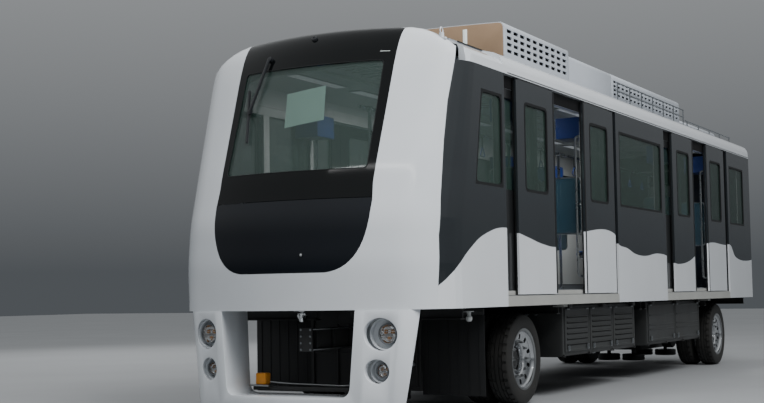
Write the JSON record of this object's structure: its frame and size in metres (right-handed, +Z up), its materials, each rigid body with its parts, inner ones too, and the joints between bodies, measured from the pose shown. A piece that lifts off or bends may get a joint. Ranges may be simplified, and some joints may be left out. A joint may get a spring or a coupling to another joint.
{
  "type": "automated people mover car",
  "caption": "Rubber-tyred driverless guideway passenger car with a raked cab end, sliding side doors, roof units and two steering bogies with guide wheels.",
  "frame": {"origin": "on the running surface, under the middle of the whole length from the rear drawbar's face to the nose", "axes": "+X towards the raked cab end, +Y to its left side, where the doors stand part open, +Z up"},
  "size_m": [12.2, 2.85, 3.948],
  "materials": {
    "body_white": "gloss",
    "body_dark": "gloss",
    "roof_grey": "satin",
    "chassis_black": "matt",
    "glass": "clear",
    "wheel_alloy": "machined",
    "tyre": "matt",
    "guide_tyre": "matt",
    "lamp": "clear",
    "seat_blue": "satin",
    "handrail_steel": "satin"
  },
  "bodies": {
    "car_body": {"nose_fairing": "body_white", "front_skirt": "body_white", "front_mask": "body_dark", "rear_end_wall": "body_dark", "windscreen": "glass", "roof_skin": "roof_grey", "air_conditioner_front": "roof_grey", "air_conditioner_rear": "roof_grey", "roof_cover_rear": "roof_grey", "underframe": "chassis_black", "inverter_box": "chassis_black", "battery_box": "chassis_black", "air_supply_box": "chassis_black", "resistor_box": "chassis_black", "cab_console": "chassis_black", "splash_plate": "chassis_black", "grab_rails": "handrail_steel", "side_sill_left": "chassis_black", "side_panel_front_left": "body_dark", "side_panel_centre_left": "body_dark", "side_panel_rear_left": "body_dark", "cantrail_left": "body_white", "lamps_left": "lamp", "bench_left": "seat_blue", "side_sill_right": "chassis_black", "side_panel_front_right": "body_dark", "side_panel_centre_right": "body_dark", "side_panel_rear_right": "body_dark", "cantrail_right": "body_white", "lamps_right": "lamp", "bench_right": "seat_blue"},
    "door_leaf_front_left_fore": {"door_leaf_front_left_fore": "body_dark"},
    "door_leaf_front_left_aft": {"door_leaf_front_left_aft": "body_dark"},
    "door_leaf_front_right_fore": {"door_leaf_front_right_fore": "body_dark"},
    "door_leaf_front_right_aft": {"door_leaf_front_right_aft": "body_dark"},
    "door_leaf_rear_left_fore": {"door_leaf_rear_left_fore": "body_dark"},
    "door_leaf_rear_left_aft": {"door_leaf_rear_left_aft": "body_dark"},
    "door_leaf_rear_right_fore": {"door_leaf_rear_right_fore": "body_dark"},
    "door_leaf_rear_right_aft": {"door_leaf_rear_right_aft": "body_dark"},
    "end_door": {"end_door": "body_dark"},
    "coupler_front": {"coupler_front": "chassis_black"},
    "bogie_front": {"bogie_front": "chassis_black"},
    "wheel_pair_front_left": {"wheel_front_left": "wheel_alloy", "tyres_front_left": "tyre"},
    "guide_wheel_front_left_fore": {"guide_wheel_front_left_fore": "guide_tyre"},
    "guide_wheel_front_left_aft": {"guide_wheel_front_left_aft": "guide_tyre"},
    "wheel_pair_front_right": {"wheel_front_right": "wheel_alloy", "tyres_front_right": "tyre"},
    "guide_wheel_front_right_fore": {"guide_wheel_front_right_fore": "guide_tyre"},
    "guide_wheel_front_right_aft": {"guide_wheel_front_right_aft": "guide_tyre"},
    "coupler_rear": {"coupler_rear": "chassis_black"},
    "bogie_rear": {"bogie_rear": "chassis_black"},
    "wheel_pair_rear_left": {"wheel_rear_left": "wheel_alloy", "tyres_rear_left": "tyre"},
    "guide_wheel_rear_left_fore": {"guide_wheel_rear_left_fore": "guide_tyre"},
    "guide_wheel_rear_left_aft": {"guide_wheel_rear_left_aft": "guide_tyre"},
    "wheel_pair_rear_right": {"wheel_rear_right": "wheel_alloy", "tyres_rear_right": "tyre"},
    "guide_wheel_rear_right_fore": {"guide_wheel_rear_right_fore": "guide_tyre"},
    "guide_wheel_rear_right_aft": {"guide_wheel_rear_right_aft": "guide_tyre"}
  },
  "joints": [
    {"name": "slide_front_left_fore", "type": "slide", "parent": "car_body", "child": "door_leaf_front_left_fore", "axis": [1, 0, 0], "range_m": [-0.332, 0.294]},
    {"name": "slide_front_left_aft", "type": "slide", "parent": "car_body", "child": "door_leaf_front_left_aft", "axis": [-1, 0, 0], "range_m": [-0.542, 0.084]},
    {"name": "slide_front_right_fore", "type": "slide", "parent": "car_body", "child": "door_leaf_front_right_fore", "axis": [1, 0, 0], "range_m": [0, 0.626]},
    {"name": "slide_front_right_aft", "type": "slide", "parent": "car_body", "child": "door_leaf_front_right_aft", "axis": [-1, 0, 0], "range_m": [0, 0.626]},
    {"name": "slide_rear_left_fore", "type": "slide", "parent": "car_body", "child": "door_leaf_rear_left_fore", "axis": [1, 0, 0], "range_m": [-0.242, 0.384]},
    {"name": "slide_rear_left_aft", "type": "slide", "parent": "car_body", "child": "door_leaf_rear_left_aft", "axis": [-1, 0, 0], "range_m": [-0.452, 0.174]},
    {"name": "slide_rear_right_fore", "type": "slide", "parent": "car_body", "child": "door_leaf_rear_right_fore", "axis": [1, 0, 0], "range_m": [0, 0.626]},
    {"name": "slide_rear_right_aft", "type": "slide", "parent": "car_body", "child": "door_leaf_rear_right_aft", "axis": [-1, 0, 0], "range_m": [0, 0.626]},
    {"name": "end_door_hinge", "type": "hinge", "parent": "car_body", "child": "end_door", "pos_m": [-5.7225, 0.412, 2], "axis": [0, 0, 1], "range_deg": [-95, 0]},
    {"name": "coupler_swing_front", "type": "hinge", "parent": "car_body", "child": "coupler_front", "pos_m": [4.71, 0, 0.73], "axis": [0, 0, 1], "range_deg": [-8, 8]},
    {"name": "bogie_yaw_front", "type": "hinge", "parent": "car_body", "child": "bogie_front", "pos_m": [3.51, 0, 0.96], "axis": [0, 0, 1], "range_deg": [-10, 10]},
    {"name": "wheel_spin_front_left", "type": "hinge", "parent": "bogie_front", "child": "wheel_pair_front_left", "pos_m": [3.51, 0.985, 0.46003], "axis": [0, 1, 0], "continuous": true},
    {"name": "guide_spin_front_left_fore", "type": "hinge", "parent": "bogie_front", "child": "guide_wheel_front_left_fore", "pos_m": [4.33, 0.19, 0.142], "axis": [0, 0, 1], "continuous": true},
    {"name": "guide_spin_front_left_aft", "type": "hinge", "parent": "bogie_front", "child": "guide_wheel_front_left_aft", "pos_m": [2.69, 0.19, 0.142], "axis": [0, 0, 1], "continuous": true},
    {"name": "wheel_spin_front_right", "type": "hinge", "parent": "bogie_front", "child": "wheel_pair_front_right", "pos_m": [3.51, -0.985, 0.46003], "axis": [0, 1, 0], "continuous": true},
    {"name": "guide_spin_front_right_fore", "type": "hinge", "parent": "bogie_front", "child": "guide_wheel_front_right_fore", "pos_m": [4.33, -0.19, 0.142], "axis": [0, 0, 1], "continuous": true},
    {"name": "guide_spin_front_right_aft", "type": "hinge", "parent": "bogie_front", "child": "guide_wheel_front_right_aft", "pos_m": [2.69, -0.19, 0.142], "axis": [0, 0, 1], "continuous": true},
    {"name": "coupler_swing_rear", "type": "hinge", "parent": "car_body", "child": "coupler_rear", "pos_m": [-5.39, 0, 0.73], "axis": [0, 0, 1], "range_deg": [-8, 8]},
    {"name": "bogie_yaw_rear", "type": "hinge", "parent": "car_body", "child": "bogie_rear", "pos_m": [-4.09, 0, 0.96], "axis": [0, 0, 1], "range_deg": [-10, 10]},
    {"name": "wheel_spin_rear_left", "type": "hinge", "parent": "bogie_rear", "child": "wheel_pair_rear_left", "pos_m": [-4.09, 0.985, 0.46003], "axis": [0, 1, 0], "continuous": true},
    {"name": "guide_spin_rear_left_fore", "type": "hinge", "parent": "bogie_rear", "child": "guide_wheel_rear_left_fore", "pos_m": [-3.27, 0.19, 0.142], "axis": [0, 0, 1], "continuous": true},
    {"name": "guide_spin_rear_left_aft", "type": "hinge", "parent": "bogie_rear", "child": "guide_wheel_rear_left_aft", "pos_m": [-4.91, 0.19, 0.142], "axis": [0, 0, 1], "continuous": true},
    {"name": "wheel_spin_rear_right", "type": "hinge", "parent": "bogie_rear", "child": "wheel_pair_rear_right", "pos_m": [-4.09, -0.985, 0.46003], "axis": [0, 1, 0], "continuous": true},
    {"name": "guide_spin_rear_right_fore", "type": "hinge", "parent": "bogie_rear", "child": "guide_wheel_rear_right_fore", "pos_m": [-3.27, -0.19, 0.142], "axis": [0, 0, 1], "continuous": true},
    {"name": "guide_spin_rear_right_aft", "type": "hinge", "parent": "bogie_rear", "child": "guide_wheel_rear_right_aft", "pos_m": [-4.91, -0.19, 0.142], "axis": [0, 0, 1], "continuous": true}
  ]
}
